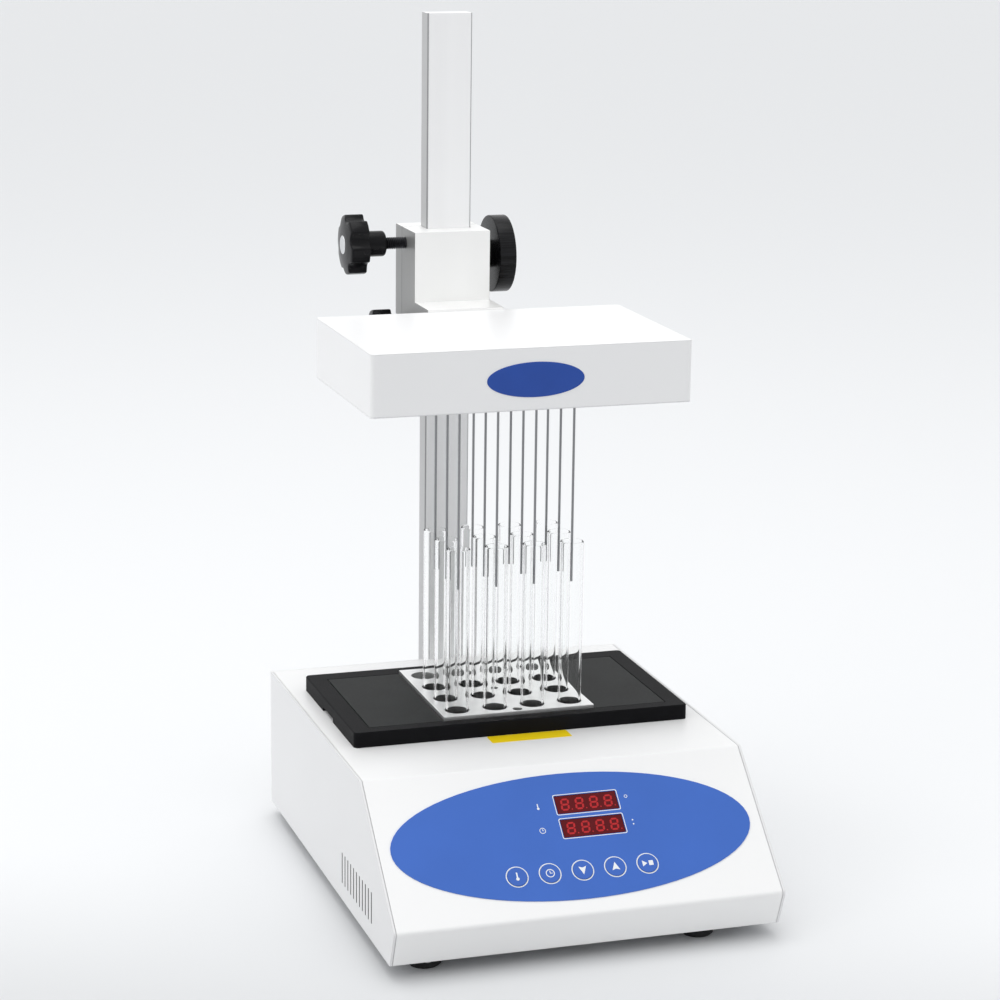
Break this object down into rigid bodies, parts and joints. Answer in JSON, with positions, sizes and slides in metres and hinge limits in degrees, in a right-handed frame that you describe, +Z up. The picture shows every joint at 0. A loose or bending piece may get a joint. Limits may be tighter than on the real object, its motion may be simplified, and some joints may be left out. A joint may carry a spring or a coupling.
{
  "type": "nitrogen sample evaporator",
  "caption": "Bench sample evaporator: heated block of tubes on a sloped-panel housing, under a gas head with needles that a rack and pinion raises along a rear column.",
  "frame": {"origin": "on the table, under the middle of the footprint that reaches from the lip of the control panel to the rim of the height knob", "axes": "+Z up along the column, -Y towards the sloped control panel, +X to the right of a person facing the panel"},
  "size_m": [0.248, 0.3574, 0.5415],
  "materials": {
    "housing_paint": "smooth semi-gloss",
    "panel_paint": "smooth semi-gloss",
    "zinc_sheet": "satin",
    "foot_rubber": "matt",
    "screw_steel": "bright",
    "overlay_film": "fine satin",
    "display_plastic": "gloss",
    "key_plastic": "satin",
    "board_laminate": "satin",
    "module_plastic": "matt",
    "frame_plastic": "fine satin",
    "block_aluminium": "anodised satin",
    "plate_aluminium": "milled",
    "mat_silicone": "matt",
    "probe_steel": "satin",
    "column_steel": "ground",
    "rack_steel": "machined",
    "slider_paint": "smooth semi-gloss",
    "collar_aluminium": "anodised satin",
    "bush_brass": "machined",
    "knob_plastic": "satin",
    "head_paint": "smooth semi-gloss",
    "needle_steel": "bright",
    "tube_glass": "clear"
  },
  "bodies": {
    "base": {"housing_shell": "housing_paint", "side_panel_left": "panel_paint", "side_panel_right": "panel_paint", "back_panel": "housing_paint", "base_plate": "zinc_sheet", "feet": "foot_rubber", "housing_screws": "screw_steel", "control_overlay": "overlay_film", "display_modules": "display_plastic", "control_board": "board_laminate", "power_board": "board_laminate", "mains_inlet": "module_plastic", "heater_plate": "plate_aluminium", "heater_mat": "mat_silicone", "well_tray": "zinc_sheet", "temperature_probe": "probe_steel", "column": "column_steel", "gear_rack": "rack_steel", "column_anchor": "zinc_sheet", "column_screws": "screw_steel"},
    "frame": {"bezel": "frame_plastic", "cover_left": "frame_plastic", "cover_right": "frame_plastic"},
    "block": {"heating_block": "block_aluminium"},
    "carriage": {"slider_body": "slider_paint", "slider_back": "slider_paint", "carriage_screws": "screw_steel", "shaft_bushes": "bush_brass", "head_cover": "head_paint", "head_floor": "zinc_sheet", "manifold": "plate_aluminium", "manifold_lid": "plate_aluminium", "gas_inlet": "bush_brass", "needles": "needle_steel"},
    "height_drive": {"pinion_shaft": "rack_steel", "height_knob": "knob_plastic"},
    "lock_thrust": {"lock_pad": "bush_brass"},
    "lock_turn": {"lock_knob": "knob_plastic"},
    "stop_slide": {"stop_collar": "collar_aluminium"},
    "stop_thrust": {"stop_pad": "bush_brass"},
    "stop_turn": {"stop_knob": "knob_plastic"},
    "rocker": {"power_rocker": "module_plastic"},
    "drawer": {"fuse_drawer": "module_plastic"},
    "push_temperature": {"key_temperature": "key_plastic"},
    "push_time": {"key_time": "key_plastic"},
    "push_down": {"key_down": "key_plastic"},
    "push_up": {"key_up": "key_plastic"},
    "push_start": {"key_start": "key_plastic"},
    "sample_a1": {"tube_a1": "tube_glass"},
    "sample_a2": {"tube_a2": "tube_glass"},
    "sample_a3": {"tube_a3": "tube_glass"},
    "sample_a4": {"tube_a4": "tube_glass"},
    "sample_b1": {"tube_b1": "tube_glass"},
    "sample_b2": {"tube_b2": "tube_glass"},
    "sample_b3": {"tube_b3": "tube_glass"},
    "sample_b4": {"tube_b4": "tube_glass"},
    "sample_c1": {"tube_c1": "tube_glass"},
    "sample_c2": {"tube_c2": "tube_glass"},
    "sample_c3": {"tube_c3": "tube_glass"},
    "sample_c4": {"tube_c4": "tube_glass"}
  },
  "joints": [
    {"name": "head_height", "type": "slide", "parent": "base", "child": "carriage", "axis": [0, 0, 1], "range_m": [0, 0.13]},
    {"name": "height_knob_turn", "type": "hinge", "parent": "carriage", "child": "height_drive", "pos_m": [0, 0.15266, 0.3783], "axis": [1, 0, 0], "range_deg": [0, 1560]},
    {"name": "lock_pad_slide", "type": "slide", "parent": "carriage", "child": "lock_thrust", "axis": [-1, 0, 0], "range_m": [0, 0.00125]},
    {"name": "lock_knob_turn", "type": "hinge", "parent": "lock_thrust", "child": "lock_turn", "pos_m": [-0.043, 0.13761, 0.39], "axis": [-1, 0, 0], "range_deg": [0, 361]},
    {"name": "stop_height", "type": "slide", "parent": "base", "child": "stop_slide", "axis": [0, 0, 1], "range_m": [-0.1, 0]},
    {"name": "stop_pad_slide", "type": "slide", "parent": "stop_slide", "child": "stop_thrust", "axis": [-1, 0, 0], "range_m": [0, 0.00125]},
    {"name": "stop_knob_turn", "type": "hinge", "parent": "stop_thrust", "child": "stop_turn", "pos_m": [-0.0238, 0.13761, 0.3255], "axis": [-1, 0, 0], "range_deg": [0, 361]},
    {"name": "press_temperature", "type": "slide", "parent": "base", "child": "push_temperature", "axis": [0, 0.6616, -0.7498], "range_m": [0, 0.0005], "stiffness_N_per_m": 3000},
    {"name": "press_time", "type": "slide", "parent": "base", "child": "push_time", "axis": [0, 0.6616, -0.7498], "range_m": [0, 0.0005], "stiffness_N_per_m": 3000},
    {"name": "press_down", "type": "slide", "parent": "base", "child": "push_down", "axis": [0, 0.6616, -0.7498], "range_m": [0, 0.0005], "stiffness_N_per_m": 3000},
    {"name": "press_up", "type": "slide", "parent": "base", "child": "push_up", "axis": [0, 0.6616, -0.7498], "range_m": [0, 0.0005], "stiffness_N_per_m": 3000},
    {"name": "press_start", "type": "slide", "parent": "base", "child": "push_start", "axis": [0, 0.6616, -0.7498], "range_m": [0, 0.0005], "stiffness_N_per_m": 3000},
    {"name": "rocker_tilt", "type": "hinge", "parent": "base", "child": "rocker", "pos_m": [-0.074, 0.13256, 0.073], "axis": [0, 0, 1], "range_deg": [0, 14]},
    {"name": "drawer_pull", "type": "slide", "parent": "base", "child": "drawer", "axis": [0, 1, 0], "range_m": [0, 0.016]},
    {"name": "frame_lift", "type": "slide", "parent": "base", "child": "frame", "axis": [0, 0, 1], "range_m": [0, 0.045]},
    {"name": "block_lift", "type": "slide", "parent": "base", "child": "block", "axis": [0, 0, 1], "range_m": [0, 0.045]},
    {"name": "lift_a1", "type": "slide", "parent": "block", "child": "sample_a1", "axis": [0, 0, 1], "range_m": [0, 0.045]},
    {"name": "lift_a2", "type": "slide", "parent": "block", "child": "sample_a2", "axis": [0, 0, 1], "range_m": [0, 0.045]},
    {"name": "lift_a3", "type": "slide", "parent": "block", "child": "sample_a3", "axis": [0, 0, 1], "range_m": [0, 0.045]},
    {"name": "lift_a4", "type": "slide", "parent": "block", "child": "sample_a4", "axis": [0, 0, 1], "range_m": [0, 0.045]},
    {"name": "lift_b1", "type": "slide", "parent": "block", "child": "sample_b1", "axis": [0, 0, 1], "range_m": [0, 0.045]},
    {"name": "lift_b2", "type": "slide", "parent": "block", "child": "sample_b2", "axis": [0, 0, 1], "range_m": [0, 0.045]},
    {"name": "lift_b3", "type": "slide", "parent": "block", "child": "sample_b3", "axis": [0, 0, 1], "range_m": [0, 0.045]},
    {"name": "lift_b4", "type": "slide", "parent": "block", "child": "sample_b4", "axis": [0, 0, 1], "range_m": [0, 0.045]},
    {"name": "lift_c1", "type": "slide", "parent": "block", "child": "sample_c1", "axis": [0, 0, 1], "range_m": [0, 0.045]},
    {"name": "lift_c2", "type": "slide", "parent": "block", "child": "sample_c2", "axis": [0, 0, 1], "range_m": [0, 0.045]},
    {"name": "lift_c3", "type": "slide", "parent": "block", "child": "sample_c3", "axis": [0, 0, 1], "range_m": [0, 0.045]},
    {"name": "lift_c4", "type": "slide", "parent": "block", "child": "sample_c4", "axis": [0, 0, 1], "range_m": [0, 0.045]}
  ],
  "couplings": [
    {"joint": "height_knob_turn", "follows": "head_height", "rad_per_m": 208.33},
    {"joint": "lock_knob_turn", "follows": "lock_pad_slide", "rad_per_m": 5026.5},
    {"joint": "stop_knob_turn", "follows": "stop_pad_slide", "rad_per_m": 5026.5}
  ]
}
